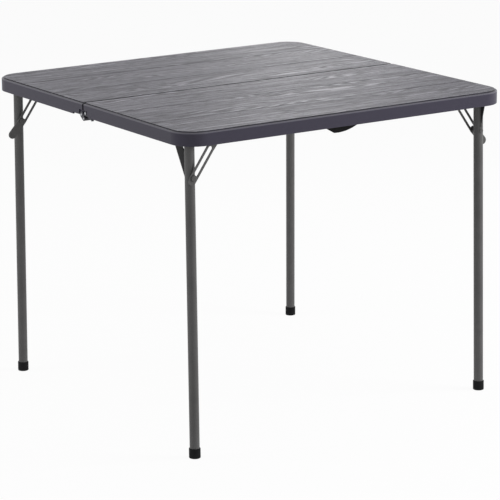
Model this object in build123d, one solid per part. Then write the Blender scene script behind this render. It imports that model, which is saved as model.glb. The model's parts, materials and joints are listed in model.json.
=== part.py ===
from build123d import *
import os
from math import acos, atan2, cos, degrees, hypot, sin

# Folding card table with a top that folds in half.
# Origin on the floor under the middle of the top, +X along the seam, +Y to the back, +Z up.
# All lengths are in millimetres. The table is shown standing, with its legs down.
# The back half is made like the front half and turned half round.

# Whole table
top_size = 864.0
table_height = 724.0
seam_gap = 0.6
overrun = 3.0

# Moulded half of the top
rim_depth = 32.0
deck_thickness = 6.5
rim_wall = 4.0
corner_radius = 56.0
pocket_corner_radius = 48.0
rim_edge_round = 2.2
rim_foot_round = 1.0
ledge_width = 5.0
ledge_drop = 2.4
plateau_round = 0.8
plateau_seam_radius = 8.0
groove_width = 2.2
groove_depth = 0.9
groove_count = 2
rib_width = 5.0
rib_height = 9.0
rib_rows = 4
rib_columns = 10
rib_end_gap = 62.0
rib_margin = 16.0

# Legs, of one length, in an outer and an inner row so that they lie side by side when folded
leg_radius = 11.0
leg_wall = 1.2
leg_inset_x = 30.0
outer_row_inset = 31.0
row_pitch = 36.0
pivot_rise = 12.0
splay_x = 5.0
splay_y = 12.0
leg_top_rise = 3.5

# Foot caps
cap_radius = 12.8
cap_height = 22.0
cap_floor = 3.0
cap_round = 1.4

# Cross tube that each leg turns on
pivot_radius = 8.0
pivot_wall = 1.5
pivot_overhang = 0.8
running_clearance = 0.05

# Gusset between each leg and its cross tube
gusset_thickness = 2.5
gusset_edge = 10.0
outer_gusset_reach = 62.0
outer_gusset_drop = 96.0
outer_gusset_heel = 34.0
outer_notch_side = 30.0
outer_notch_top = 16.0
outer_notch_low = 52.0
inner_gusset_reach = 26.0
inner_gusset_drop = 72.0

# Stamped bracket under the deck
bracket_plate = 1.5
ear_thickness = 2.5
ear_gap = 1.7
ear_lobe = 12.0
bracket_heel = 14.0
bracket_width = 44.0
bracket_arm = 21.0
bracket_tail = 12.0
bracket_margin = 12.0
bracket_clearance = 0.4

# Slotted brace, which on the inner legs ends in a finger tab
brace_pivot_x = 56.0
brace_pivot_drop = 1.0
pin_drop = 81.0
brace_gap = 0.3
brace_thickness = 2.0
brace_eye_radius = 11.5
brace_half_width = 9.8
brace_neck = 26.0
brace_slot_width = 9.6
tab_x = 27.5
tab_drop = 111.0
plain_end_x = 4.0
plain_end_drop = 87.0
plain_end_radius = 9.2
brace_rivet_radius = 3.0
rivet_head_radius = 6.0
rivet_head_height = 2.2
lock_head_radius = 7.0
lock_head_height = 3.0
lock_pin_clearance = 0.1
leg_pin_radius = 3.0
leg_pin_boss_radius = 4.6
leg_pin_head_radius = 4.4
leg_pin_head_height = 1.6

# Steel rail beside the seam
rail_width = 22.0
rail_height = 12.0
rail_wall = 1.5
rail_end_gap = 72.0
rail_offset = 18.0

# Screws into the deck
screw_radius = 1.8
screw_head_radius = 4.0
screw_head_height = 2.0
screw_bite = 3.5
rail_screw_count = 5

# Seam hinges at both ends of the seam
hinge_axis_drop = 4.5
knuckle_radius = 5.0
knuckle_gap = 0.4
knuckle_count = 3
hinge_pin_radius = 2.5
hinge_width = 34.0
hinge_inset = 1.0
leaf_thickness = 2.0
leaf_gap = 0.9
front_leaf_length = 23.0
back_leaf_length = 45.0
notch_height = 5.2
notch_margin = 0.8
pin_head_height = 1.6
pin_head_radius = 3.6
hinge_screw_radius = 1.6
hinge_screw_head_radius = 2.8
hinge_screw_head_height = 1.2
hinge_screw_bite = 9.0

# Upright plates at the outer end of the hinges, which lie in a recess of the rim
end_plate_thickness = 2.0
recess_reach = 18.0
recess_height = 15.0
recess_gap = 0.2
back_lobe_y = 8.5
back_lobe_rise = 8.5
back_lobe_radius = 7.0
front_lobe_y = 9.0
front_lobe_rise = 13.5
front_lobe_radius = 5.0

# Catch under the front leaf of the left hinge
catch_start = 6.5
catch_length = 15.0
catch_width = 15.0
catch_inset = 5.0
catch_height = 5.2
catch_wall = 2.0
lever_width = 6.0
lever_clearance = 0.3
lever_eye_radius = 2.2
lever_tip_radius = 1.2
lever_reach = 7.5
lever_drop = 8.7
lever_pin_radius = 1.2

# Carrying strap behind the front rim
strap_thickness = 1.8
strap_height = 14.0
strap_left = -84.0
strap_right = 32.0
strap_low_x = -46.0
strap_sag = 12.5
strap_end_rise = 9.0
strap_bow_x = -2.0
strap_bow_drop = 7.6
strap_wall_gap = 0.4
strap_screw_inset = 7.0
strap_screw_radius = 2.2
strap_screw_head_radius = 4.2
strap_screw_head_height = 1.2
strap_screw_bite = 2.5

half = top_size / 2
leg_offset_x = half - leg_inset_x
outer_row_y = half - outer_row_inset
inner_row_y = outer_row_y - row_pitch
rim_bottom = table_height - rim_depth
deck_bottom = table_height - deck_thickness
ledge_top = table_height - ledge_drop
pivot_z = rim_bottom + pivot_rise
hinge_z = rim_bottom - hinge_axis_drop
leaf_top = rim_bottom + notch_height
leaf_bottom = leaf_top - leaf_thickness
plate_bottom = deck_bottom - pivot_z - bracket_plate
ear_inner = leg_radius + ear_gap
brace_inner = ear_inner + ear_thickness + brace_gap
brace_outer = brace_inner + brace_thickness
seat_gap = brace_gap
brace_eye = (brace_pivot_x, -brace_pivot_drop)

parts = {}


def box_between(low, high):
    """A box from its lowest to its highest corner."""
    size = [b - a for a, b in zip(low, high)]
    return Pos(*low) * Box(*size, align=(Align.MIN, Align.MIN, Align.MIN))


def rod(start, end, radius):
    """A round bar from one point to another."""
    axis = Vector(*end) - Vector(*start)
    place = Plane(origin=start, z_dir=axis)
    return place * Cylinder(radius, axis.length, align=(Align.CENTER, Align.CENTER, Align.MIN))


def headed(start, seat, end, radius, head_radius):
    """A screw or rivet whose head runs from start to seat and whose shank goes on to end."""
    head = rod(start, seat, head_radius)
    rims = head.edges().filter_by(GeomType.CIRCLE)
    at_start = [e for e in rims if (e.arc_center - Vector(*start)).length < running_clearance]
    thickness = (Vector(*seat) - Vector(*start)).length
    return fillet(at_start, thickness / 2) + rod(seat, end, radius)


def link_face(a, a_radius, b, b_radius):
    """The outline of a link round two eyes, in its own flat plane."""
    ax, ay = a
    bx, by = b
    span = hypot(bx - ax, by - ay)
    lean = atan2(by - ay, bx - ax)
    opening = acos((a_radius - b_radius) / span)
    turns = (lean + opening, lean - opening)
    near = [(ax + a_radius * cos(t), ay + a_radius * sin(t)) for t in turns]
    far = [(bx + b_radius * cos(t), by + b_radius * sin(t)) for t in turns]
    body = make_face(Polyline(near[0], far[0], far[1], near[1], close=True))
    return body + Pos(ax, ay) * Circle(a_radius) + Pos(bx, by) * Circle(b_radius)


def plate_along_y(face, low_y, thickness):
    """A plate from an outline drawn in X and Z, with its lower face at low_y."""
    place = Plane(origin=(0, low_y + thickness, 0), x_dir=(1, 0, 0), z_dir=(0, -1, 0))
    return extrude(place * face, amount=thickness)


def plate_along_x(face, low_x, thickness):
    """A plate from an outline drawn in Y and Z, with its lower face at low_x."""
    place = Plane(origin=(low_x, 0, 0), x_dir=(0, 1, 0), z_dir=(1, 0, 0))
    return extrude(place * face, amount=thickness)


def edges_at(solid, level):
    """The edges that lie at one height, but for the one on the seam face."""
    flat = [e for e in solid.edges() if abs(e.center().Z - level) < running_clearance]
    return [e for e in flat if e.center().Y < -seam_gap]


# The moulded half


def half_outline(inset, seam_inset, radius, seam_radius):
    """Plan of the front half, with two large corners at the front."""
    low_y = -half + inset
    high_y = -seam_gap / 2 - seam_inset
    sheet = Pos(0, (low_y + high_y) / 2) * Rectangle(top_size - 2 * inset, high_y - low_y)
    sheet = fillet(sheet.vertices().sort_by(Axis.Y)[:2], radius)
    if seam_radius > 0:
        sheet = fillet(sheet.vertices().sort_by(Axis.Y)[-2:], seam_radius)
    return sheet


def make_top(leaf_length):
    """The moulding of one half: deck, rim, ribs, plank grooves and seats for the hinges."""
    shell = extrude(half_outline(0, 0, corner_radius, 0), amount=rim_depth - ledge_drop)
    shell = Pos(0, 0, rim_bottom) * shell
    shell = fillet(edges_at(shell, ledge_top), rim_edge_round)
    plateau_plan = half_outline(ledge_width, 0, corner_radius - ledge_width, plateau_seam_radius)
    plateau = Pos(0, 0, ledge_top) * extrude(plateau_plan, amount=ledge_drop)
    plateau = fillet(plateau.edges().group_by(Axis.Z)[-1], plateau_round)
    body = shell + plateau
    pocket_plan = half_outline(rim_wall, rim_wall, pocket_corner_radius, rim_wall)
    pocket = extrude(pocket_plan, amount=deck_bottom - rim_bottom + overrun)
    body -= Pos(0, 0, rim_bottom - overrun) * pocket
    body = fillet(edges_at(body, rim_bottom), rim_foot_round)
    body += make_ribs()
    for side in (-1, 1):
        body += hinge_boss(side, leaf_length)
        body -= hinge_notch(side, leaf_length)
        body -= end_recess(side)
    for groove in make_grooves():
        body -= groove
    return body


def rib_band():
    """How far the ribs start and end from the seam, clear of the rail and the leg brackets."""
    near = rail_offset + rail_width + rib_margin
    far = outer_row_y - outer_gusset_reach - bracket_margin - rib_margin
    return near, far


def make_ribs():
    """A grid of shallow ribs under the deck, between the rail and the folded legs."""
    near, far = rib_band()
    low = deck_bottom - rib_height
    reach = half - rib_end_gap
    thick = rib_width / 2
    bars = []
    for row in range(rib_rows):
        y = -(near + (far - near) * row / (rib_rows - 1))
        bars.append(box_between((-reach, y - thick, low), (reach, y + thick, deck_bottom)))
    for column in range(rib_columns):
        x = (reach - thick) * (2 * column / (rib_columns - 1) - 1)
        bars.append(box_between((x - thick, -far, low), (x + thick, -near, deck_bottom)))
    return bars


def make_grooves():
    """Plank joints along the seam direction, as bars to cut away."""
    plank = half / (groove_count + 1)
    reach = half - ledge_width + overrun
    cuts = []
    for number in range(groove_count):
        y = -plank * (number + 1)
        low = (-reach, y - groove_width / 2, table_height - groove_depth)
        cuts.append(box_between(low, (reach, y + groove_width / 2, table_height + overrun)))
    return cuts


def on_side(side, low, high):
    """A box given by its distances from the middle of the seam, on the left or the right."""
    (x0, y0, z0), (x1, y1, z1) = low, high
    if side == 1:
        return box_between(low, high)
    return box_between((-x1, y0, z0), (-x0, y1, z1))


def hinge_inner():
    """Distance from the middle of the seam to the inner edge of a hinge."""
    return half - hinge_inset - hinge_width


def hinge_boss(side, leaf_length):
    """Solid corner of the moulding that the hinge is screwed to."""
    low = (hinge_inner() - notch_margin, -leaf_length - notch_margin - rim_wall, leaf_bottom)
    return on_side(side, low, (half - rim_wall / 2, -seam_gap / 2, deck_bottom + deck_thickness / 2))


def hinge_notch(side, leaf_length):
    """Notch in the foot of the rim for a hinge leaf."""
    low = (hinge_inner() - notch_margin, -leaf_length - notch_margin, rim_bottom - overrun)
    return on_side(side, low, (half + overrun, overrun, leaf_top))


def end_recess(side):
    """Shallow recess in the end of the rim for the upright plates of the hinge."""
    outer = half - hinge_inset - end_plate_thickness - recess_gap
    low = (outer, -recess_reach, rim_bottom - overrun)
    return on_side(side, low, (half + overrun, overrun, rim_bottom + recess_height))


# Legs, each made with its pivot at the origin, the inside of the table at +X
# and its brace on the -Y side


def leg_point(splay, drop):
    """The point of a leg's centre line that lies this far under its pivot."""
    share = drop / pivot_z
    return Vector(-splay_x * share, splay * share, -drop)


def make_leg(splay, reach, gusset):
    """Tube, cross tube, gusset, foot cap and brace pin of one leg."""
    foot = leg_point(splay, pivot_z)
    down = foot.normalized()
    length = foot.length
    top = down * -leg_top_rise
    envelope = rod(top, foot + down * overrun, leg_radius)
    cross_low = -(ear_inner + ear_thickness + pivot_overhang)
    cross_high = reach + ear_gap + ear_thickness + pivot_overhang
    cross = rod((0, cross_low, 0), (0, cross_high, 0), pivot_radius)
    cross_bore = rod((0, cross_low - overrun, 0), (0, cross_high + overrun, 0), pivot_radius - pivot_wall)

    pin_at = leg_point(splay, pin_drop)
    side = Vector(0, leg_radius + leg_pin_head_height / 2, 0)
    shank = rod(pin_at - side, pin_at + side, leg_pin_radius)
    head = rod(pin_at, pin_at + Vector(0, leg_radius + leg_pin_head_height, 0), leg_pin_head_radius)
    boss = rod(pin_at, (pin_at.X, -(brace_inner - seat_gap), pin_at.Z), leg_pin_boss_radius)

    tube = rod(top, foot - down * cap_floor, leg_radius)
    tube -= rod(top - down * overrun, foot, leg_radius - leg_wall)
    tube -= cross
    tube -= shank
    plate = max((gusset - envelope - cross).solids(), key=lambda s: s.volume)
    pin = (head + boss - envelope) + shank - plate
    cap = rod(foot - down * cap_height, foot + down * overrun, cap_radius)
    cap -= rod(foot - down * (cap_height + overrun), foot - down * cap_floor, leg_radius)
    cap -= box_between((-half, -half, -pivot_z - half), (half, half, -pivot_z))
    cap = fillet([e for e in cap.edges() if e.length > cap_radius * 6], cap_round)
    return {"tube": tube, "cross_tube": cross - cross_bore, "gusset": plate, "foot_cap": cap, "brace_pin": pin}


def gusset_plate(points):
    """Flat plate in the plane of the leg and its cross tube."""
    return plate_along_x(make_face(Polyline(*points, close=True)), -gusset_thickness / 2, gusset_thickness)


def outer_gusset():
    """Wide gusset, open between the leg and its heel."""
    reach = outer_gusset_reach
    points = [(0, -outer_gusset_drop), (leg_radius, -outer_gusset_drop), (reach, -gusset_edge), (reach, 0)]
    points += [(outer_gusset_heel, 0), (outer_notch_side, -outer_notch_top), (0, -outer_notch_low)]
    return gusset_plate(points)


def inner_gusset():
    """Narrow gusset."""
    reach = inner_gusset_reach
    points = [(0, -inner_gusset_drop), (leg_radius, -inner_gusset_drop), (reach, -gusset_edge), (reach, 0), (0, 0)]
    return gusset_plate(points)


def make_brace(splay, end, end_radius):
    """Slotted link and the shouldered pin that sits at the lower end of its slot."""
    pin_at = leg_point(splay, pin_drop)
    pin = (pin_at.X, pin_at.Z)
    eye_x, eye_z = brace_eye
    rest = hypot(pin[0] - eye_x, pin[1] - eye_z)
    ux, uz = (pin[0] - eye_x) / rest, (pin[1] - eye_z) / rest
    folded = hypot(hypot(*pin) - eye_x, eye_z)
    neck = (eye_x + ux * brace_neck, eye_z + uz * brace_neck)
    slot_start = (eye_x + ux * folded, eye_z + uz * folded)
    face = link_face(brace_eye, brace_eye_radius, neck, brace_half_width)
    face += link_face(neck, brace_half_width, pin, brace_half_width)
    face += link_face(pin, brace_half_width, end, end_radius)
    face -= link_face(slot_start, brace_slot_width / 2, pin, brace_slot_width / 2)
    face -= Pos(*brace_eye) * Circle(brace_rivet_radius + running_clearance)
    link = plate_along_y(face, -brace_outer, brace_thickness)
    shank_radius = brace_slot_width / 2 - lock_pin_clearance
    start = (pin[0], -brace_outer - lock_head_height, pin[1])
    seat = (pin[0], -brace_outer, pin[1])
    lock_pin = headed(start, seat, (pin[0], -brace_inner, pin[1]), shank_radius, lock_head_radius)
    return {"link": link, "lock_pin": lock_pin}


def screw_spots(reach):
    """Where the screws of a bracket go."""
    near = leg_radius + screw_head_radius + screw_head_height
    far = reach + ear_gap + ear_thickness + bracket_margin / 2
    left = -bracket_heel + screw_head_radius * 3 / 2
    right = bracket_width - bracket_heel - screw_head_radius * 3 / 2
    return [(left, far), (right, near), (right, far), (brace_pivot_x + bracket_arm - screw_head_radius * 2, near)]


def pocket_room():
    """The room inside the rim, less a clearance."""
    inset = rim_wall + bracket_clearance
    plan = half_outline(inset, inset, pocket_corner_radius - bracket_clearance, rim_wall)
    return Pos(0, 0, rim_bottom - overrun) * extrude(plan, amount=rim_depth)


def make_bracket(reach):
    """Stamped plate under the deck with an ear on both sides of the leg."""
    low_y = -(ear_inner + ear_thickness)
    far_ear = reach + ear_gap
    high_y = far_ear + ear_thickness + bracket_margin
    right = brace_pivot_x + bracket_arm
    top = plate_bottom + bracket_plate
    body = box_between((-bracket_heel, low_y, plate_bottom), (bracket_width - bracket_heel, high_y, top))
    body += box_between((-bracket_heel, low_y, plate_bottom), (right, bracket_arm, top))
    face = link_face((0, 0), ear_lobe, brace_eye, brace_half_width)
    face += Pos((right - bracket_heel) / 2, plate_bottom / 2) * Rectangle(right + bracket_heel, plate_bottom)
    face -= Pos(right - bracket_tail / 2, 0) * Rectangle(bracket_tail, plate_bottom)
    face -= Circle(pivot_radius + running_clearance)
    face -= Pos(*brace_eye) * Circle(brace_rivet_radius)
    body += plate_along_y(face, low_y, ear_thickness)
    face = Circle(ear_lobe) + Pos(0, plate_bottom / 2) * Rectangle(ear_lobe * 2, plate_bottom)
    face -= Circle(pivot_radius + running_clearance)
    body += plate_along_y(face, far_ear, ear_thickness)
    for x, y in screw_spots(reach):
        body -= rod((x, y, plate_bottom - overrun), (x, y, top + overrun), screw_radius)
    return body


def make_brace_rivet():
    """Rivet through the ear that the brace turns on."""
    eye_x, eye_z = brace_eye
    head_y = -brace_outer - seat_gap
    start = (eye_x, head_y - rivet_head_height, eye_z)
    return headed(start, (eye_x, head_y, eye_z), (eye_x, -ear_inner, eye_z), brace_rivet_radius, rivet_head_radius)


def deck_screw(x, y, seat):
    """Pan-head screw up into the deck, with its head under the seat."""
    return headed((x, y, seat - screw_head_height), (x, y, seat), (x, y, deck_bottom + screw_bite),
                  screw_radius, screw_head_radius)


def corner_place(row):
    """Where a leg of the front half stands: the outer row on the left, the inner on the right."""
    if row == "outer":
        return Pos(-leg_offset_x, -outer_row_y, pivot_z)
    return Pos(leg_offset_x, -inner_row_y, pivot_z) * Rot(0, 0, 180)


# Seam rail


def rail_spots():
    """Where the screws of the seam rail go."""
    reach = half - rail_end_gap - rail_width
    y = -(rail_offset + rail_width / 2)
    return [(reach * (2 * number / (rail_screw_count - 1) - 1), y) for number in range(rail_screw_count)]


def make_rail():
    """Channel under the deck beside the seam, open downwards."""
    reach = half - rail_end_gap
    near = -rail_offset
    far = near - rail_width
    low = deck_bottom - rail_height
    rail = box_between((-reach, far, low), (reach, near, deck_bottom))
    rail -= box_between((-reach - overrun, far + rail_wall, low - overrun),
                        (reach + overrun, near - rail_wall, deck_bottom - rail_wall))
    for x, y in rail_spots():
        rail -= rod((x, y, low), (x, y, deck_bottom + overrun), screw_radius)
    return rail


# Seam hinges, made for the right-hand end of the seam and mirrored for the left-hand one


def knuckle_spans():
    """The knuckles of a hinge along X, from the outer end inwards."""
    outer = half - hinge_inset
    step = (hinge_width + knuckle_gap) / knuckle_count
    return [(outer - step * (n + 1) + knuckle_gap, outer - step * n) for n in range(knuckle_count)]


def make_leaf(sign, leaf_length, own, lobe, rivet_at):
    """One leaf: flat plate, knuckles with their webs, and the upright plate at the end."""
    inner = hinge_inner()
    outer = half - hinge_inset
    ys = sorted((sign * leaf_gap, sign * leaf_length))
    web = sorted((sign * leaf_gap, sign * (leaf_gap + leaf_thickness)))
    leaf = box_between((inner, ys[0], leaf_bottom), (outer, ys[1], leaf_top))
    for number in own:
        low_x, high_x = knuckle_spans()[number]
        leaf += box_between((low_x, web[0], hinge_z), (high_x, web[1], leaf_bottom))
        leaf += rod((low_x, 0, hinge_z), (high_x, 0, hinge_z), knuckle_radius)
    leaf += plate_along_x(lobe, outer - end_plate_thickness, end_plate_thickness)
    leaf -= rod((inner - overrun, 0, hinge_z), (half + overrun, 0, hinge_z), hinge_pin_radius + running_clearance)
    leaf -= rod((inner, *rivet_at), (half + overrun, *rivet_at), hinge_screw_radius)
    for x, y in leaf_spots(sign, leaf_length):
        leaf -= rod((x, y, rim_bottom), (x, y, leaf_top + overrun), hinge_screw_radius)
    return leaf


def leaf_spots(sign, leaf_length):
    """Where the upward screws of a leaf go: one in the short leaf, two in the long one."""
    x = hinge_inner() + hinge_screw_head_radius * 2
    count = round(leaf_length / front_leaf_length)
    return [(x, sign * leaf_length * (number + 1 / 2) / count) for number in range(count)]


def leaf_screws(sign, leaf_length):
    """Screws from below through a leaf into the moulding."""
    found = []
    for x, y in leaf_spots(sign, leaf_length):
        start = (x, y, leaf_bottom - hinge_screw_head_height)
        end = (x, y, leaf_top + hinge_screw_bite)
        found.append(headed(start, (x, y, leaf_bottom), end, hinge_screw_radius, hinge_screw_head_radius))
    return found


def end_rivet(rivet_at):
    """Rivet through the upright plate of a leaf into the end of the rim."""
    outer = half - hinge_inset
    start = (outer + hinge_screw_head_height, *rivet_at)
    end = (outer - end_plate_thickness - hinge_screw_bite, *rivet_at)
    return headed(start, (outer, *rivet_at), end, hinge_screw_radius, hinge_screw_head_radius)


def make_hinge_pin():
    """Headed pin through the knuckles."""
    inner = hinge_inner()
    return headed((inner - pin_head_height - knuckle_gap / 2, 0, hinge_z), (inner - knuckle_gap / 2, 0, hinge_z),
                  (half - hinge_inset, 0, hinge_z), hinge_pin_radius, pin_head_radius)


def both_ends(shapes):
    """The shapes of the right-hand hinge and their mirrored twins at the left-hand end."""
    return shapes + [mirror(shape, about=Plane.YZ) for shape in shapes]


# Catch under the left hinge


def lever_eye():
    """Where the lever of the catch turns, in Y and Z."""
    return -(catch_start + catch_wall + lever_eye_radius + lever_clearance), leaf_bottom - catch_height / 2


def catch_span():
    """The catch block along X."""
    high = -(half - hinge_inset - catch_inset)
    return high, high + catch_width


def make_catch():
    """Block with a slot for the lever, the lever and its pin."""
    low_x, high_x = catch_span()
    middle = (low_x + high_x) / 2
    eye_y, eye_z = lever_eye()
    floor = leaf_bottom - catch_height
    block = box_between((low_x, -catch_start - catch_length, floor), (high_x, -catch_start, leaf_bottom))
    slot = lever_width / 2 + lever_clearance
    block -= box_between((middle - slot, -catch_start - catch_length - overrun, floor - overrun),
                         (middle + slot, -catch_start - catch_wall, leaf_bottom + overrun))
    inset = catch_wall / 2
    pin = rod((low_x + inset, eye_y, eye_z), (high_x - inset, eye_y, eye_z), lever_pin_radius)
    block -= pin
    face = link_face((eye_y, eye_z), lever_eye_radius, (eye_y - lever_reach, eye_z - lever_drop), lever_tip_radius)
    face -= Pos(eye_y, eye_z) * Circle(lever_pin_radius + running_clearance)
    lever = plate_along_x(face, middle - lever_width / 2, lever_width)
    return block, pin, lever


# Carrying strap


def make_strap():
    """Webbing band that dips below the foot of the front rim."""
    ends_z = rim_bottom + strap_end_rise
    low = (strap_low_x, rim_bottom - strap_sag)
    bow = (strap_bow_x, rim_bottom - strap_bow_drop)
    left = (strap_left, ends_z)
    right = (strap_right, ends_z)
    up = (0, strap_height)
    raised = [tuple(a + b for a, b in zip(p, up)) for p in (left, low, bow, right)]
    outline = Line(left, low) + ThreePointArc(low, bow, right) + Line(right, raised[3])
    outline += ThreePointArc(raised[3], raised[2], raised[1]) + Polyline(raised[1], raised[0], left)
    return plate_along_y(make_face(outline), -half + rim_wall + strap_wall_gap, strap_thickness)


def strap_screws():
    """The two screws that hold the strap to the rim from inside."""
    seat = -half + rim_wall + strap_wall_gap + strap_thickness
    z = rim_bottom + strap_end_rise + strap_height / 2
    found = []
    for x in (strap_left + strap_screw_inset, strap_right - strap_screw_inset):
        end = (x, -half + rim_wall - strap_screw_bite, z)
        start = (x, seat + strap_screw_head_height, z)
        found.append(headed(start, (x, seat, z), end, strap_screw_radius, strap_screw_head_radius))
    return found


# Assembly


def keep(name, shapes, turn=False):
    """Keep a finished piece under its name, turned half round for the back half."""
    shapes = shapes if isinstance(shapes, list) else [shapes]
    solids = [solid for shape in shapes for solid in shape.solids()]
    if turn:
        solids = [Rot(0, 0, 180) * solid for solid in solids]
    parts[name] = solids[0] if len(solids) == 1 else Compound(children=solids)


def keep_half(half_name, leaf_length, corners):
    """Everything that is alike in the two halves."""
    turn = half_name == "back"
    top = make_top(leaf_length)
    screws = [deck_screw(x, y, deck_bottom - rail_wall) for x, y in rail_spots()]
    rivets = []
    for row, corner in corners.items():
        reach, splay, gusset = rows[row]
        place = corner_place(row)
        keep(f"{corner}_bracket", (place * make_bracket(reach)) & pocket_room(), turn)
        for x, y in screw_spots(reach):
            spot = place * Pos(x, y, 0)
            screws.append(deck_screw(spot.position.X, spot.position.Y, pivot_z + plate_bottom))
        rivets.append(place * make_brace_rivet())
        for piece, shape in make_leg(splay, reach, gusset).items():
            keep(f"{corner}_leg_{piece}", place * shape, turn)
        end, end_radius = brace_ends[row]
        for piece, shape in make_brace(splay, end, end_radius).items():
            keep(f"{corner}_brace_{piece}", place * shape, turn)
    keep(f"{half_name}_seam_rail", make_rail(), turn)
    keep(f"{half_name}_deck_screws", screws, turn)
    keep(f"{half_name}_brace_rivets", rivets, turn)
    for screw in screws:
        top -= screw
    return top


def keep_hinges(top, half_name, leaf_length, own, lobe, rivet_at):
    """Leaves, screws and rivets of one half at both ends of the seam."""
    sign = -1 if half_name == "front" else 1
    leaf = make_leaf(sign, leaf_length, own, lobe, rivet_at)
    keep(f"right_{half_name}_hinge_leaf", leaf)
    keep(f"left_{half_name}_hinge_leaf", mirror(leaf, about=Plane.YZ))
    screws = both_ends(leaf_screws(sign, leaf_length))
    rivets = both_ends([end_rivet(rivet_at)])
    keep(f"{half_name}_hinge_screws", screws)
    keep(f"{half_name}_hinge_rivets", rivets)
    for fastener in screws + rivets:
        top -= fastener
    return top


rows = {
    "outer": (outer_gusset_reach, -splay_y, outer_gusset()),
    "inner": (inner_gusset_reach, splay_y, inner_gusset()),
}
brace_ends = {
    "outer": ((-plain_end_x, -plain_end_drop), plain_end_radius),
    "inner": ((-tab_x, -tab_drop), brace_half_width),
}

back_rivet = (back_lobe_y, hinge_z + back_lobe_rise)
back_lobe = link_face((0, hinge_z), knuckle_radius, back_rivet, back_lobe_radius)
front_rivet = (-front_lobe_y, hinge_z + front_lobe_rise)
front_lobe = link_face((-front_lobe_y, leaf_bottom + front_lobe_radius), front_lobe_radius,
                       front_rivet, front_lobe_radius)

front_top = keep_half("front", front_leaf_length, {"outer": "front_left", "inner": "front_right"})
front_top = keep_hinges(front_top, "front", front_leaf_length, [1], front_lobe, front_rivet)
strap_fasteners = strap_screws()
for fastener in strap_fasteners:
    front_top -= fastener
keep("front_top", front_top)

back_top = keep_half("back", back_leaf_length, {"outer": "back_right", "inner": "back_left"})
back_top = keep_hinges(Rot(0, 0, 180) * back_top, "back", back_leaf_length, [0, 2], back_lobe, back_rivet)
keep("back_top", back_top)

hinge_pin = make_hinge_pin()
keep("right_hinge_pin", hinge_pin)
keep("left_hinge_pin", mirror(hinge_pin, about=Plane.YZ))

catch_block, catch_pin, catch_lever = make_catch()
keep("catch_block", catch_block)
keep("catch_pin", catch_pin)
keep("catch_lever", catch_lever)

strap = make_strap()
for fastener in strap_fasteners:
    strap -= fastener
keep("carry_strap", strap)
keep("strap_screws", strap_fasteners)

os.makedirs("parts", exist_ok=True)
for name, shape in parts.items():
    export_step(shape, f"parts/{name}.step")

brace_rest = leg_point(splay_y, pin_drop)
rest_turn = degrees(atan2(brace_rest.Z + brace_pivot_drop, brace_rest.X - brace_pivot_x))
folded_turn = degrees(atan2(brace_pivot_drop, hypot(brace_rest.X, brace_rest.Z) - brace_pivot_x))
print("leg folds by", round(90 + degrees(atan2(splay_x, pivot_z)), 3), "degrees")
print("brace turns by", round(folded_turn - rest_turn, 3), "degrees")
print("hinge axis at", round(hinge_z, 3), "leg pivots at", round(pivot_z, 3))
print(len(parts), "pieces")
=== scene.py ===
import json
import math
import bmesh
import bpy
from mathutils import Matrix, Vector


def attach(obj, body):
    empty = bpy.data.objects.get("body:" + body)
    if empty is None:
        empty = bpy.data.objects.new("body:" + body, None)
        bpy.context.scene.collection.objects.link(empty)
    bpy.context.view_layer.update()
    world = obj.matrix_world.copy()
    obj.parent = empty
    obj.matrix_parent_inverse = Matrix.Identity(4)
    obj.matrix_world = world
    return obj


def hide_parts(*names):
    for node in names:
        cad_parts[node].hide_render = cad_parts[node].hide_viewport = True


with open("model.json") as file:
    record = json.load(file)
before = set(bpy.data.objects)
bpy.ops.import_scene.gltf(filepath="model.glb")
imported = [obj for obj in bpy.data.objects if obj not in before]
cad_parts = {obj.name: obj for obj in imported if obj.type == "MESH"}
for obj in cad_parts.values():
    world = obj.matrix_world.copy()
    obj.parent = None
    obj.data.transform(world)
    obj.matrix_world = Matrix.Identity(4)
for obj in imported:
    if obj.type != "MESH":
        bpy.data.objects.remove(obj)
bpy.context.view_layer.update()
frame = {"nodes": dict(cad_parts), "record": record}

nodes = frame["nodes"]
scene = bpy.context.scene
mm = 0.001
print("frame loaded,", len(nodes), "nodes")


def toLinear(hexColour):
    # sRGB hex to the linear colour that the shaders want
    values = [int(hexColour[i:i + 2], 16) / 255 for i in (1, 3, 5)]
    return (*[v / 12.92 if v <= 0.04045 else ((v + 0.055) / 1.055) ** 2.4 for v in values], 1)


def feed(tree, node, inputs):
    # each input gets a plain value or a link
    for key, value in inputs.items():
        if isinstance(value, bpy.types.NodeSocket):
            tree.links.new(value, node.inputs[key])
        else:
            node.inputs[key].default_value = value


def addNode(tree, kind, inputs=None, **settings):
    # one node with its settings, values and links
    node = tree.nodes.new(kind)
    for key, value in settings.items():
        setattr(node, key, value)
    feed(tree, node, inputs or {})
    return node


def newMaterial(name, values):
    # a principled material, with what is the same all over on the shader's own sockets
    material = bpy.data.materials.new(name)
    material.use_nodes = True
    tree = material.node_tree
    shader = tree.nodes["Principled BSDF"]
    feed(tree, shader, values)
    return material, tree, shader


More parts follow.
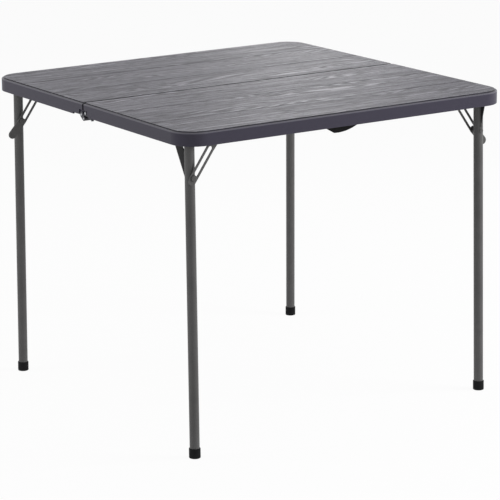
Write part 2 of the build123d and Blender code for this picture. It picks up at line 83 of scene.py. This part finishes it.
# Polyethylene, blow-moulded in a grained tool. It looks like stained planks from afar: long
# fibres, arched growth rings and short dark pores, all pressed in. Grazing light makes the
# flat top paler than the satin, plum-grey rim.
grain = {
    # the ledge colour is a painted highlight, and the line colour is painted shade
    "ior": 1.51, "rimColour": "#373441", "ledgeHighlightColour": "#57555f", "shadeLineColour": "#111015",
    "lightColour": "#5a5766", "darkColour": "#25232e", "poreColour": "#16151b",
    "plank": 144 * mm, "plankShift": 3.0,  # the shift gives each plank its own stretch of grain
    # length, width, distance from the next plank's pattern, and detail. The real fibres are
    # finer than these, and would not show.
    "patterns": {
        "bend": (420 * mm, 85 * mm, 1.0, 1.0), "fibre": (110 * mm, 2.6 * mm, 50 * mm, 3.0),
        "streak": (260 * mm, 11 * mm, 50 * mm, 2.0), "pore": (34 * mm, 2.4 * mm, 50 * mm, 1.0),
    },
    "ringGap": 8 * mm, "ringBend": 156 * mm, "fibreShare": 0.55, "poreSink": -0.6,
    # where a pattern's values begin and end to show
    "noiseRange": (0.30, 0.70), "poreRange": (0.60, 0.70), "woodRange": (0.15, 0.95),
    # zones by height over the ledge round the top
    "ledgeTop": 721.6 * mm, "onTop": (1.6 * mm, 2.1 * mm), "onWall": (0.1 * mm, 0.2 * mm),
    "onLedge": (-3.2 * mm, -2.2 * mm),
    # zones by distance from the middle of a groove or of the seam
    "inGroove": (3.0 * mm, 1.6 * mm), "nearSeam": (3.8 * mm, 2.4 * mm),
    "offSeamWall": (0.35 * mm, 0.45 * mm),
    "roughRim": 0.42, "roughTop": (0.56, 0.32), "specularRim": 0.25, "specularTop": 0.5,
    # the tool's own stipple is finer, and would not show
    "stipple": 0.9 * mm, "stippleStrength": 0.25, "stippleDepth": 0.06 * mm, "grainDepth": 0.6 * mm,
}


def makeGrainPlastic():
    material, tree, shader = newMaterial("mouldedPolyethylene", {"IOR": grain["ior"]})
    place = addNode(tree, "ShaderNodeTexCoord").outputs["Object"]
    x, y, z = addNode(tree, "ShaderNodeSeparateXYZ", {"Vector": place}).outputs

    # the grain runs along each plank, and starts anew on the next
    plank = addNode(tree, "ShaderNodeMath", {0: y, 1: grain["plank"]},
                    operation="DIVIDE").outputs[0]
    number = addNode(tree, "ShaderNodeMath", {0: plank}, operation="FLOOR").outputs[0]
    shift = addNode(tree, "ShaderNodeTexWhiteNoise", {"W": number},
                    noise_dimensions="1D").outputs["Value"]
    along = addNode(tree, "ShaderNodeMath", {0: shift, 1: grain["plankShift"], 2: x},
                    operation="MULTIPLY_ADD").outputs[0]
    flat = addNode(tree, "ShaderNodeCombineXYZ", {"X": along, "Y": y, "Z": shift}).outputs[0]
    noise = {}
    for name, (long, wide, apart, detail) in grain["patterns"].items():
        drawn = addNode(tree, "ShaderNodeMapping", {
            "Vector": flat, "Scale": (1 / long, 1 / wide, 1 / apart)}).outputs[0]
        noise[name] = addNode(tree, "ShaderNodeTexNoise", {
            "Vector": drawn, "Scale": 1.0, "Detail": detail}).outputs["Fac"]

    # growth rings are bands across the plank, which a slow noise bends into long arches
    bent = addNode(tree, "ShaderNodeMath", {0: noise["bend"], 1: grain["ringBend"], 2: y},
                   operation="MULTIPLY_ADD").outputs[0]
    turns = addNode(tree, "ShaderNodeMath", {0: bent, 1: 2 * math.pi / grain["ringGap"]},
                    operation="MULTIPLY").outputs[0]
    wave = addNode(tree, "ShaderNodeMath", {0: turns}, operation="SINE").outputs[0]

    # how much of each pattern and zone there is at a point, from 0 to 1
    raised = addNode(tree, "ShaderNodeMath", {0: z, 1: grain["ledgeTop"]},
                     operation="SUBTRACT").outputs[0]
    fromGroove = addNode(tree, "ShaderNodeMath", {0: y, 1: grain["plank"] / 2},
                         operation="PINGPONG").outputs[0]
    fromSeam = addNode(tree, "ShaderNodeMath", {0: y}, operation="ABSOLUTE").outputs[0]
    amount = {}
    for name, value, (start, end) in (
            ("rings", wave, (-1.0, 1.0)), ("fibre", noise["fibre"], grain["noiseRange"]),
            ("streak", noise["streak"], grain["noiseRange"]),
            ("pore", noise["pore"], grain["poreRange"]), ("onTop", raised, grain["onTop"]),
            ("onWall", raised, grain["onWall"]), ("onLedge", raised, grain["onLedge"]),
            ("inGroove", fromGroove, grain["inGroove"]), ("nearSeam", fromSeam, grain["nearSeam"]),
            ("offSeamWall", fromSeam, grain["offSeamWall"])):
        amount[name] = addNode(tree, "ShaderNodeMapRange", {
            "Value": value, "From Min": start, "From Max": end}).outputs[0]

    ringed = addNode(tree, "ShaderNodeMath", {0: amount["rings"], 1: amount["streak"]},
                     operation="MULTIPLY").outputs[0]
    pressed = addNode(tree, "ShaderNodeMath", {
        0: amount["fibre"], 1: grain["fibreShare"], 2: ringed}, operation="MULTIPLY_ADD").outputs[0]
    height = addNode(tree, "ShaderNodeMath", {
        0: amount["pore"], 1: grain["poreSink"], 2: pressed}, operation="MULTIPLY_ADD").outputs[0]

    # painted light and shade: the wood's colours follow the grain's height, paler on its crests and
    # darkest in the pores
    start, end = grain["woodRange"]
    pale = addNode(tree, "ShaderNodeMapRange", {
        "Value": pressed, "From Min": start, "From Max": end}).outputs[0]
    wood = toLinear(grain["darkColour"])
    for share, over in ((pale, "lightColour"), (amount["pore"], "poreColour")):
        wood = addNode(tree, "ShaderNodeMix", {"Factor": share, 6: wood, 7: toLinear(grain[over])},
                       data_type="RGBA").outputs[2]

    # The ledge and the edge under it get a painted highlight, paler than the rim. The step above
    # the ledge, the grooves and the seam's lips get painted shade, as dark lines. The seam's inner
    # walls stay plain, because they show when the table is folded.
    # painted shade: the grooves' dark lines, broken up by the streaks, and along the seam's lips
    patchyGrooveShade = addNode(tree, "ShaderNodeMath", {0: amount["inGroove"], 1: amount["streak"]},
                   operation="MULTIPLY").outputs[0]
    grooveShade = addNode(tree, "ShaderNodeMath", {0: patchyGrooveShade, 1: amount["onTop"]},
                      operation="MULTIPLY").outputs[0]
    seamShade = addNode(tree, "ShaderNodeMath", {0: amount["nearSeam"], 1: amount["offSeamWall"]},
                     operation="MULTIPLY").outputs[0]
    ledgeHighlight, line = toLinear(grain["ledgeHighlightColour"]), toLinear(grain["shadeLineColour"])
    colour = toLinear(grain["rimColour"])
    for share, over in ((amount["onLedge"], ledgeHighlight), (amount["onWall"], line),
                        (amount["onTop"], wood), (grooveShade, line), (seamShade, line)):
        colour = addNode(tree, "ShaderNodeMix", {"Factor": share, 6: colour, 7: over},
                         data_type="RGBA").outputs[2]

    # gloss: duller on the rim and in the grain's valleys, and none in the seam
    clear = addNode(tree, "ShaderNodeMath", {0: 1.0, 1: seamShade}, operation="SUBTRACT").outputs[0]
    sheen = addNode(tree, "ShaderNodeMapRange", {
        "Value": amount["onLedge"], "To Min": grain["specularRim"],
        "To Max": grain["specularTop"]}).outputs[0]
    specular = addNode(tree, "ShaderNodeMath", {0: sheen, 1: clear},
                       operation="MULTIPLY").outputs[0]
    valley, crest = grain["roughTop"]
    grained = addNode(tree, "ShaderNodeMapRange", {
        "Value": height, "To Min": valley, "To Max": crest}).outputs[0]
    rough = addNode(tree, "ShaderNodeMix", {
        "Factor": amount["onTop"], 2: grain["roughRim"], 3: grained}, data_type="FLOAT").outputs[0]

    # satin stipple on every face, with the grain over it on the top
    stipple = addNode(tree, "ShaderNodeTexNoise", {
        "Vector": place, "Scale": 1 / grain["stipple"], "Detail": 1.0}).outputs["Fac"]
    skin = addNode(tree, "ShaderNodeBump", {
        "Height": stipple, "Strength": grain["stippleStrength"],
        "Distance": grain["stippleDepth"]}).outputs[0]
    relief = addNode(tree, "ShaderNodeBump", {
        "Height": height, "Strength": amount["onTop"], "Distance": grain["grainDepth"],
        "Normal": skin}).outputs[0]
    feed(tree, shader, {"Base Color": colour, "Specular IOR Level": specular,
                        "Roughness": rough, "Normal": relief})
    return material


# The other finishes: each has a fine peel or pebble of its own size over broad, faint clouds
finishes = {
    # powder paint baked on steel tube: satin grey with a faint orange peel
    "powderCoat": {"colour": "#545353", "speck": "#484747", "rough": 0.46, "specular": 0.42,
                   "metallic": 0.0, "peel": 1.6 * mm, "relief": 0.05 * mm},
    # the same paint on the gussets, with painted shade: near black, as they look in the photograph
    "paintedShadePowderCoat": {"colour": "#171618", "speck": "#111012", "rough": 0.55, "specular": 0.2,
                       "metallic": 0.0, "peel": 1.6 * mm, "relief": 0.05 * mm},
    # enamel sprayed on stamped steel: a cooler, darker satin than the tubes
    "hingePaint": {"colour": "#3a3940", "speck": "#313036", "rough": 0.44, "specular": 0.45,
                   "metallic": 0.0, "peel": 1.4 * mm, "relief": 0.04 * mm},
    # bright zinc plated on pressed steel: pale and mirror-like, slightly clouded
    "zincPlate": {"colour": "#b9bbbe", "speck": "#9c9ea2", "rough": 0.30, "specular": 0.5,
                  "metallic": 1.0, "peel": 2.5 * mm, "relief": 0.01 * mm},
    # moulded rubber: dead black and dull, with a fine pebble
    "blackRubber": {"colour": "#0d0d0f", "speck": "#141416", "rough": 0.75, "specular": 0.2,
                    "metallic": 0.0, "peel": 0.8 * mm, "relief": 0.08 * mm},
    # moulded nylon: black like the rubber, with more shine
    "blackNylon": {"colour": "#1a1a1d", "speck": "#222225", "rough": 0.5, "specular": 0.45,
                   "metallic": 0.0, "peel": 0.9 * mm, "relief": 0.04 * mm},
}
peelAndClouds = {
    "peelDetail": 2.0, "cloud": 40 * mm, "cloudDetail": 3.0, "speckRange": (0.12, 0.34),
    "cloudRange": (0.3, 0.7), "roughSpread": 0.05, "peelStrength": 0.35,
}


def makeFinish(name):
    values = finishes[name]
    material, tree, shader = newMaterial(name, {
        "Metallic": values["metallic"], "Specular IOR Level": values["specular"]})
    place = addNode(tree, "ShaderNodeTexCoord").outputs["Object"]
    peel = addNode(tree, "ShaderNodeTexNoise", {
        "Vector": place, "Scale": 1 / values["peel"],
        "Detail": peelAndClouds["peelDetail"]}).outputs["Fac"]
    clouds = addNode(tree, "ShaderNodeTexNoise", {
        "Vector": place, "Scale": 1 / peelAndClouds["cloud"],
        "Detail": peelAndClouds["cloudDetail"]}).outputs["Fac"]
    both = addNode(tree, "ShaderNodeMath", {0: peel, 1: clouds}, operation="MULTIPLY").outputs[0]
    start, end = peelAndClouds["speckRange"]
    share = addNode(tree, "ShaderNodeMapRange", {
        "Value": both, "From Min": start, "From Max": end}).outputs[0]
    colour = addNode(tree, "ShaderNodeMix", {
        "Factor": share, 6: toLinear(values["speck"]), 7: toLinear(values["colour"])},
        data_type="RGBA").outputs[2]
    start, end = peelAndClouds["cloudRange"]
    rough = addNode(tree, "ShaderNodeMapRange", {
        "Value": clouds, "From Min": start, "From Max": end,
        "To Min": values["rough"] - peelAndClouds["roughSpread"],
        "To Max": values["rough"] + peelAndClouds["roughSpread"]}).outputs[0]
    bump = addNode(tree, "ShaderNodeBump", {
        "Height": peel, "Strength": peelAndClouds["peelStrength"],
        "Distance": values["relief"]}).outputs[0]
    feed(tree, shader, {"Base Color": colour, "Roughness": rough, "Normal": bump})
    return material


# Polypropylene webbing, woven flat: fine ribs along the band, crossed by the weft, dull black.
# The real threads are finer, and would not show.
webbing = {
    "rib": 1.8 * mm, "weft": 2.2 * mm, "waveUnit": 0.314,  # a wave texture's wave at scale 1
    # the valley colour is painted shade between the threads
    "colour": "#070708", "valley": "#030303", "valleyShadeRange": (0.0, 0.8),
    "rough": 0.7, "specular": 0.2, "strength": 0.6, "relief": 0.3 * mm,
}


def makeWebbing():
    material, tree, shader = newMaterial("wovenWebbing", {
        "Roughness": webbing["rough"], "Specular IOR Level": webbing["specular"]})
    uv = addNode(tree, "ShaderNodeTexCoord").outputs["UV"]
    waves = [addNode(tree, "ShaderNodeTexWave", {
        "Vector": uv, "Scale": webbing["waveUnit"] / webbing[thread]},
        bands_direction=axis).outputs["Fac"] for thread, axis in (("weft", "X"), ("rib", "Y"))]
    weave = addNode(tree, "ShaderNodeMath", {0: waves[0], 1: waves[1]},
                    operation="MULTIPLY").outputs[0]
    # painted shade: the weave's valleys are coloured darker
    start, end = webbing["valleyShadeRange"]
    share = addNode(tree, "ShaderNodeMapRange", {
        "Value": weave, "From Min": start, "From Max": end}).outputs[0]
    colour = addNode(tree, "ShaderNodeMix", {
        "Factor": share, 6: toLinear(webbing["valley"]), 7: toLinear(webbing["colour"])},
        data_type="RGBA").outputs[2]
    bump = addNode(tree, "ShaderNodeBump", {
        "Height": weave, "Strength": webbing["strength"],
        "Distance": webbing["relief"]}).outputs[0]
    feed(tree, shader, {"Base Color": colour, "Normal": bump})
    return material


materials = {name: makeFinish(name) for name in finishes}
materials["mouldedPolyethylene"] = makeGrainPlastic()
materials["wovenWebbing"] = makeWebbing()

slotFinish = {
    "moulded_top": "mouldedPolyethylene", "grey_painted_steel": "powderCoat",
    "hinge_steel": "hingePaint", "plated_steel": "zincPlate", "black_rubber": "blackRubber",
    "black_plastic": "blackNylon", "black_webbing": "wovenWebbing",
}
for part in frame["record"]["subparts"]:
    # the gussets get a copy of the powder coat with painted shade
    gusset = part["node"].endswith("_gusset")
    finish = "paintedShadePowderCoat" if gusset else slotFinish[part["material_slot"]]
    mesh = nodes[part["node"]].data
    mesh.materials.clear()
    mesh.materials.append(materials[finish])
print("materials made:", ", ".join(materials))


def finishPiece(name, mesh, material, body):
    # a plain mesh becomes a piece of the table that moves with one body
    piece = bpy.data.objects.new(name, mesh)
    scene.collection.objects.link(piece)
    if material:
        mesh.materials.clear()
        mesh.materials.append(material)
    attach(piece, body)
    return piece


def newTree(name, **inputs):
    # an empty geometry tree with named inputs, each with its default
    tree = bpy.data.node_groups.new(name, "GeometryNodeTree")
    tree.interface.new_socket("Geometry", in_out="INPUT", socket_type="NodeSocketGeometry")
    for key, default in inputs.items():
        if default is None:
            tree.interface.new_socket(key, in_out="INPUT", socket_type="NodeSocketMaterial")
        else:
            kind = "NodeSocketInt" if isinstance(default, int) else "NodeSocketFloat"
            socket = tree.interface.new_socket(key, in_out="INPUT", socket_type=kind)
            socket.default_value = default
    tree.interface.new_socket("Geometry", in_out="OUTPUT", socket_type="NodeSocketGeometry")
    return tree, addNode(tree, "NodeGroupInput").outputs


def closeTree(tree, instances, material):
    # instances made real, given their material, and sent out
    real = addNode(tree, "GeometryNodeRealizeInstances", {"Geometry": instances}).outputs[0]
    done = addNode(tree, "GeometryNodeSetMaterial", {
        "Geometry": real, "Material": material}).outputs[0]
    addNode(tree, "NodeGroupOutput", {"Geometry": done})


def runTree(tree, mesh, values):
    # runs a geometry tree on a mesh, and gives back the plain mesh that comes out
    holder = bpy.data.objects.new("holder", mesh)
    scene.collection.objects.link(holder)
    modifier = holder.modifiers.new("make", "NODES")
    modifier.node_group = tree
    for item in tree.interface.items_tree:
        if item.item_type == "SOCKET" and item.in_out == "INPUT" and item.name in values:
            modifier[item.identifier] = values[item.name]
    bpy.context.view_layer.update()
    evaluated = holder.evaluated_get(bpy.context.evaluated_depsgraph_get())
    result = bpy.data.meshes.new_from_object(evaluated)
    holder.modifiers.remove(modifier)
    bpy.data.objects.remove(holder)
    return result


# Zinc-plated pan heads with a cross recess, for the screws under the top
screwHead = {
    "segments": 28, "rings": 18, "radius": 4 * mm, "height": 2 * mm, "recessWidth": 0.9 * mm,
    # in radii and heights of the head: the recess, and the block that takes off the ball's top
    "recessLength": 1.15, "recessDepth": 0.31, "blockWidth": 4.0, "blockHeight": 2.0,
    "mergeDistance": 0.01 * mm,
}
screwSets = {
    # CAD node: body, radius and height of its heads
    "front_deck_screws": ("front_half", 4 * mm, 2 * mm),
    "back_deck_screws": ("back_half", 4 * mm, 2 * mm),
    "front_hinge_screws": ("front_half", 2.8 * mm, 1.2 * mm),
    "back_hinge_screws": ("back_half", 2.8 * mm, 1.2 * mm),
}


def solidBoxes(nodeName):
    # lowest and highest corner of each separate solid in a CAD node
    mesh = bmesh.new()
    mesh.from_mesh(nodes[nodeName].data)
    bmesh.ops.remove_doubles(mesh, verts=mesh.verts, dist=screwHead["mergeDistance"])
    left = set(mesh.verts)
    found = []
    while left:
        group = {left.pop()}
        waiting = list(group)
        while waiting:
            vert = waiting.pop()
            for link in vert.link_edges:
                other = link.other_vert(vert)
                if other in left:
                    left.discard(other)
                    group.add(other)
                    waiting.append(other)
        points = [v.co for v in group]
        found.append((Vector([min(p[i] for p in points) for i in range(3)]),
                      Vector([max(p[i] for p in points) for i in range(3)])))
    mesh.free()
    return found


def makeScrewTree():
    tree, given = newTree("crossPanHeads", radius=screwHead["radius"], height=screwHead["height"],
                          recessWidth=screwHead["recessWidth"], material=None)
    radius, height, width = given["radius"], given["height"], given["recessWidth"]

    # a ball pressed to the head's radius and height, without its upper half
    ball = addNode(tree, "GeometryNodeMeshUVSphere", {
        "Segments": screwHead["segments"], "Rings": screwHead["rings"], "Radius": 1.0}).outputs[0]
    size = addNode(tree, "ShaderNodeCombineXYZ", {
        "X": radius, "Y": radius, "Z": height}).outputs[0]
    dome = addNode(tree, "GeometryNodeTransform", {"Geometry": ball, "Scale": size}).outputs[0]
    wide = addNode(tree, "ShaderNodeMath", {0: radius, 1: screwHead["blockWidth"]},
                   operation="MULTIPLY").outputs[0]
    tall = addNode(tree, "ShaderNodeMath", {0: height, 1: screwHead["blockHeight"]},
                   operation="MULTIPLY").outputs[0]
    blockSize = addNode(tree, "ShaderNodeCombineXYZ", {"X": wide, "Y": wide, "Z": tall}).outputs[0]
    block = addNode(tree, "GeometryNodeMeshCube", {"Size": blockSize}).outputs[0]
    rise = addNode(tree, "ShaderNodeCombineXYZ", {"Z": height}).outputs[0]
    cutters = [addNode(tree, "GeometryNodeTransform", {
        "Geometry": block, "Translation": rise}).outputs[0]]

    # two bars cut the cross from below, each as tall as the head and sunk to the recess depth
    long = addNode(tree, "ShaderNodeMath", {0: radius, 1: screwHead["recessLength"]},
                   operation="MULTIPLY").outputs[0]
    sink = addNode(tree, "ShaderNodeMath", {0: height, 1: screwHead["recessDepth"] - 1.5},
                   operation="MULTIPLY").outputs[0]
    low = addNode(tree, "ShaderNodeCombineXYZ", {"Z": sink}).outputs[0]
    for x, y in ((long, width), (width, long)):
        barSize = addNode(tree, "ShaderNodeCombineXYZ", {"X": x, "Y": y, "Z": height}).outputs[0]
        bar = addNode(tree, "GeometryNodeMeshCube", {"Size": barSize}).outputs[0]
        cutters.append(addNode(tree, "GeometryNodeTransform", {
            "Geometry": bar, "Translation": low}).outputs[0])
    head = addNode(tree, "GeometryNodeMeshBoolean", {"Mesh 1": dome}, operation="DIFFERENCE")
    for cutter in cutters:
        tree.links.new(cutter, head.inputs["Mesh 2"])
    spread = addNode(tree, "GeometryNodeInstanceOnPoints", {
        "Points": given["Geometry"], "Instance": head.outputs[0]}).outputs[0]
    closeTree(tree, spread, given["material"])
    return tree


screwTree = makeScrewTree()
for nodeName, (body, radius, height) in screwSets.items():
    boxes = solidBoxes(nodeName)
    spots = bpy.data.meshes.new("spots")
    spots.from_pydata([((low.x + high.x) / 2, (low.y + high.y) / 2, low.z + height)
                       for low, high in boxes], [], [])
    heads = runTree(screwTree, spots, {
        "radius": radius, "height": height, "material": materials["zincPlate"]})
    newName = nodeName.replace("screws", "crossScrews")
    piece = finishPiece(newName, heads, None, body)
    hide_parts(nodeName)
    print(nodeName, "has", len(boxes), "screws,", len(heads.polygons), "faces")


# Weld beads that join each leg's gusset to its tubes, under the same powder coat
weld = {
    "pitch": 1.5 * mm, "radius": 1.7 * mm, "seed": 7, "subdivisions": 2, "steps": 8,
    "smallest": (0.8, 0.8, 0.62), "largest": (1.0, 1.0, 0.8),
}
leg = {  # as in the part
    "pivotX": 402 * mm, "pivotZ": 704 * mm, "splayX": 5 * mm, "splayY": 12 * mm,
    "radius": 11 * mm, "crossRadius": 8 * mm, "halfGusset": 1.25 * mm,
}
legRows = {
    # where the row lies, the leg's splay towards its gusset, and in mm what the gusset
    # spans down the leg and along the cross tube
    "outer": {"y": 401 * mm, "splay": -1, "downLeg": (57, 95), "onCross": (36, 60)},
    "inner": {"y": 365 * mm, "splay": 1, "downLeg": (10, 71), "onCross": (13, 24)},
}
legs = {
    # corner: row, signs of X and Y, and turn about Z
    "front_left": ("outer", -1, -1, 0), "front_right": ("inner", 1, -1, 180),
    "back_right": ("outer", 1, 1, 180), "back_left": ("inner", -1, 1, 0),
}


def makeWeldTree():
    tree, given = newTree("weldBeads", pitch=weld["pitch"], radius=weld["radius"],
                          seed=weld["seed"], material=None)
    path = addNode(tree, "GeometryNodeMeshToCurve", {"Mesh": given["Geometry"]}).outputs[0]
    points = addNode(tree, "GeometryNodeCurveToPoints", {
        "Curve": path, "Length": given["pitch"]}, mode="LENGTH").outputs
    drop = addNode(tree, "GeometryNodeMeshIcoSphere", {
        "Radius": given["radius"], "Subdivisions": weld["subdivisions"]}).outputs[0]
    shrink = addNode(tree, "FunctionNodeRandomValue", {
        "Min": weld["smallest"], "Max": weld["largest"], "Seed": given["seed"]},
        data_type="FLOAT_VECTOR").outputs[0]
    beads = addNode(tree, "GeometryNodeInstanceOnPoints", {
        "Points": points[0], "Instance": drop, "Rotation": points["Rotation"],
        "Scale": shrink}).outputs[0]
    closeTree(tree, beads, given["material"])
    return tree


def weldLines(row):
    # where both faces of a gusset meet the leg and the cross tube, seen from the leg's pivot
    lines = []
    top, bottom = row["downLeg"]
    for x in (-leg["halfGusset"], leg["halfGusset"]):
        seam = []
        for step in range(weld["steps"] + 1):
            drop = (top + (bottom - top) * step / weld["steps"]) * mm
            share = drop / leg["pivotZ"]
            centre = Vector((-leg["splayX"] * share, row["splay"] * leg["splayY"] * share, -drop))
            reach = math.sqrt(leg["radius"] ** 2 - (x - centre.x) ** 2)
            seam.append(Vector((x, centre.y + reach, -drop)))
        under = -math.sqrt(leg["crossRadius"] ** 2 - x ** 2)
        lines += [seam, [Vector((x, y * mm, under)) for y in row["onCross"]]]
    return lines


weldTree = makeWeldTree()
for corner, (rowName, signX, signY, turn) in legs.items():
    row = legRows[rowName]
    pivot = Vector((signX * leg["pivotX"], signY * row["y"], leg["pivotZ"]))
    place = Matrix.Translation(pivot) @ Matrix.Rotation(math.radians(turn), 4, "Z")
    verts, edges = [], []
    for line in weldLines(row):
        edges += [(len(verts) + n, len(verts) + n + 1) for n in range(len(line) - 1)]
        verts += [place @ point for point in line]
    lines = bpy.data.meshes.new("weldLines")
    lines.from_pydata(verts, edges, [])
    beads = runTree(weldTree, lines, {
        "pitch": weld["pitch"], "radius": weld["radius"], "seed": weld["seed"],
        "material": materials["powderCoat"]})
    for face in beads.polygons:
        face.use_smooth = True
    finishPiece(corner + "_welds", beads, None, corner + "_leg")
print("welds made")


# Carrying strap, a black band that dips below the front rim, in millimetres. The four
# points are on its lower edge, as X and Z.
strap = {
    "left": (-84, 701), "low": (-46, 679.5), "bow": (-2, 684.4), "right": (32, 701),
    "height": 14, "thickness": 1.8, "back": -427.6, "edge": 0.8, "steps": 64,
}


def strapLine(x):
    # height of the lower edge: straight down to the low point, then an arc through the bow
    (x0, z0), (x1, z1) = strap["left"], strap["low"]
    if x <= x1:
        return z0 + (z1 - z0) * (x - x0) / (x1 - x0)
    a, b, c = (Vector(strap[name]) for name in ("low", "bow", "right"))
    d = 2 * (a.x * (b.y - c.y) + b.x * (c.y - a.y) + c.x * (a.y - b.y))
    squares = a.length_squared, b.length_squared, c.length_squared
    cx = (squares[0] * (b.y - c.y) + squares[1] * (c.y - a.y) + squares[2] * (a.y - b.y)) / d
    cz = (squares[0] * (c.x - b.x) + squares[1] * (a.x - c.x) + squares[2] * (b.x - a.x)) / d
    radius = math.hypot(a.x - cx, a.y - cz)
    return cz - math.sqrt(radius ** 2 - (x - cx) ** 2)


def makeStrap():
    start, end = strap["left"][0], strap["right"][0]
    thick, high, edge = strap["thickness"], strap["height"], strap["edge"]
    # the band's section, as depth and height: both faces, and their rounded edges
    ring = [(edge / 2, 0), (0, edge), (0, high / 4), (0, high / 2), (0, high * 3 / 4),
            (0, high - edge), (edge / 2, high), (thick - edge / 2, high), (thick, high - edge),
            (thick, high * 3 / 4), (thick, high / 2), (thick, high / 4), (thick, edge),
            (thick - edge / 2, 0)]
    mesh = bmesh.new()
    uv = mesh.loops.layers.uv.new("band")
    rows, lengths, last = [], [], None
    for n in range(strap["steps"] + 1):
        x = start + (end - start) * n / strap["steps"]
        z = strapLine(x)
        lengths.append(lengths[-1] + math.hypot(x - last[0], z - last[1]) if last else 0)
        last = (x, z)
        rows.append([mesh.verts.new((x * mm, (strap["back"] + y) * mm, (z + up) * mm))
                     for y, up in ring])
    for n in range(strap["steps"]):
        for k in range(len(ring)):
            after = (k + 1) % len(ring)
            corners = ((n, k), (n, after), (n + 1, after), (n + 1, k))
            face = mesh.faces.new([rows[row][index] for row, index in corners])
            face.smooth = True
            for loop, (row, index) in zip(face.loops, corners):
                loop[uv].uv = (lengths[row] * mm, ring[index][1] * mm)
    mesh.faces.new(reversed(rows[0]))
    mesh.faces.new(rows[-1])
    bmesh.ops.recalc_face_normals(mesh, faces=mesh.faces)
    data = bpy.data.meshes.new("strapBand")
    mesh.to_mesh(data)
    mesh.free()
    return data


band = finishPiece("webbingStrap", makeStrap(), materials["wovenWebbing"], "front_half")
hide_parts("carry_strap")
print("strap made")


# Pale floor and world, which look plain white, and still light the table softly
stage = {
    "floorSize": 24.0, "floorColour": "#f4f4f4", "floorRough": 0.9, "floorSpecular": 0.1,
    "white": "#ffffff", "plain": 0.94,  # the rest of the floor's look is its shade
    "worldLight": 0.38,
}


def seenStraight(tree):
    # 1 for what the camera sees, also in a mirror or through glass, and 0 for light
    path = addNode(tree, "ShaderNodeLightPath").outputs
    seen = path["Is Camera Ray"]
    for ray in ("Is Glossy Ray", "Is Transmission Ray"):
        seen = addNode(tree, "ShaderNodeMath", {0: seen, 1: path[ray]},
                       operation="MAXIMUM").outputs[0]
    return seen


floorMesh = bmesh.new()
bmesh.ops.create_grid(floorMesh, x_segments=1, y_segments=1, size=stage["floorSize"] / 2)
floorData = bpy.data.meshes.new("floor")
floorMesh.to_mesh(floorData)
floorMesh.free()
floor = bpy.data.objects.new("floor", floorData)
scene.collection.objects.link(floor)
floorMaterial, tree, shader = newMaterial("paleFloor", {
    "Base Color": toLinear(stage["floorColour"]), "Roughness": stage["floorRough"],
    "Specular IOR Level": stage["floorSpecular"]})
share = addNode(tree, "ShaderNodeMath", {0: seenStraight(tree), 1: stage["plain"]},
                operation="MULTIPLY").outputs[0]
glow = addNode(tree, "ShaderNodeEmission", {
    "Color": toLinear(stage["white"]), "Strength": 1.0}).outputs[0]
mixed = addNode(tree, "ShaderNodeMixShader", {"Fac": share, 1: shader.outputs[0], 2: glow})
feed(tree, tree.nodes["Material Output"], {"Surface": mixed.outputs[0]})
floorData.materials.append(floorMaterial)

world = bpy.data.worlds.new("studio")
scene.world = world
world.use_nodes = True
tree = world.node_tree
strength = addNode(tree, "ShaderNodeMapRange", {
    "Value": seenStraight(tree), "To Min": stage["worldLight"], "To Max": 1.0}).outputs[0]
feed(tree, tree.nodes["Background"], {"Color": toLinear(stage["white"]), "Strength": strength})

# Soft lamps at both sides shape the round legs, and a small one behind gives the top its
# sheen. The two at the sides don't show in reflections, where they turn the flat top white
# when it is seen from behind.
lamps = {
    "leftLamp": {"place": (-3.2, 1.3, 1.7), "target": (0, 0, 0.5), "size": 1.6, "watts": 38,
                 "inGloss": False},
    "rightLamp": {"place": (2.9, -2.4, 1.7), "target": (0, 0, 0.5), "size": 1.6, "watts": 136,
                  "inGloss": False},
    "sheenLamp": {"place": (1.44, 1.82, 1.34), "target": (0.13, -0.09, 0.724), "size": 0.55,
                  "watts": 2.2, "inGloss": True},
}
for name, values in lamps.items():
    lamp = bpy.data.lights.new(name, "AREA")
    lamp.shape = "SQUARE"
    lamp.size = values["size"]
    lamp.energy = values["watts"]
    holder = bpy.data.objects.new(name, lamp)
    scene.collection.objects.link(holder)
    aim = Vector(values["target"]) - Vector(values["place"])
    holder.location = values["place"]
    holder.rotation_euler = aim.to_track_quat("-Z", "Y").to_euler()
    holder.visible_camera = False
    holder.visible_glossy = values["inGloss"]

# Camera set out from lines measured on the photograph: turn, tilt and roll in degrees
view = {
    "azimuth": -32.58, "elevation": 14.88, "roll": -0.658, "place": (-3.0363, -4.6578, 1.7372),
    "focalPixels": 2419.1, "centre": (225, 275), "pixels": 500, "sensor": 36.0,
}
az, el, roll = (math.radians(view[key]) for key in ("azimuth", "elevation", "roll"))
towards = Vector((math.sin(az) * math.cos(el), -math.cos(az) * math.cos(el), math.sin(el)))
right = (-towards).cross(Vector((0, 0, 1))).normalized()
up = right.cross(-towards)
rolledRight = right * math.cos(roll) + up * math.sin(roll)
rolledUp = up * math.cos(roll) - right * math.sin(roll)
lens = bpy.data.cameras.new("photoCamera")
lens.sensor_width = view["sensor"]
lens.lens = view["focalPixels"] / view["pixels"] * view["sensor"]
lens.shift_x = (view["pixels"] / 2 - view["centre"][0]) / view["pixels"]
lens.shift_y = (view["centre"][1] - view["pixels"] / 2) / view["pixels"]
camera = bpy.data.objects.new("photoCamera", lens)
scene.collection.objects.link(camera)
axes = Matrix((rolledRight, rolledUp, towards)).transposed()
camera.matrix_world = Matrix.Translation(view["place"]) @ axes.to_4x4()
scene.camera = camera
scene.view_settings.view_transform = "Standard"
print("floor, light and camera set")
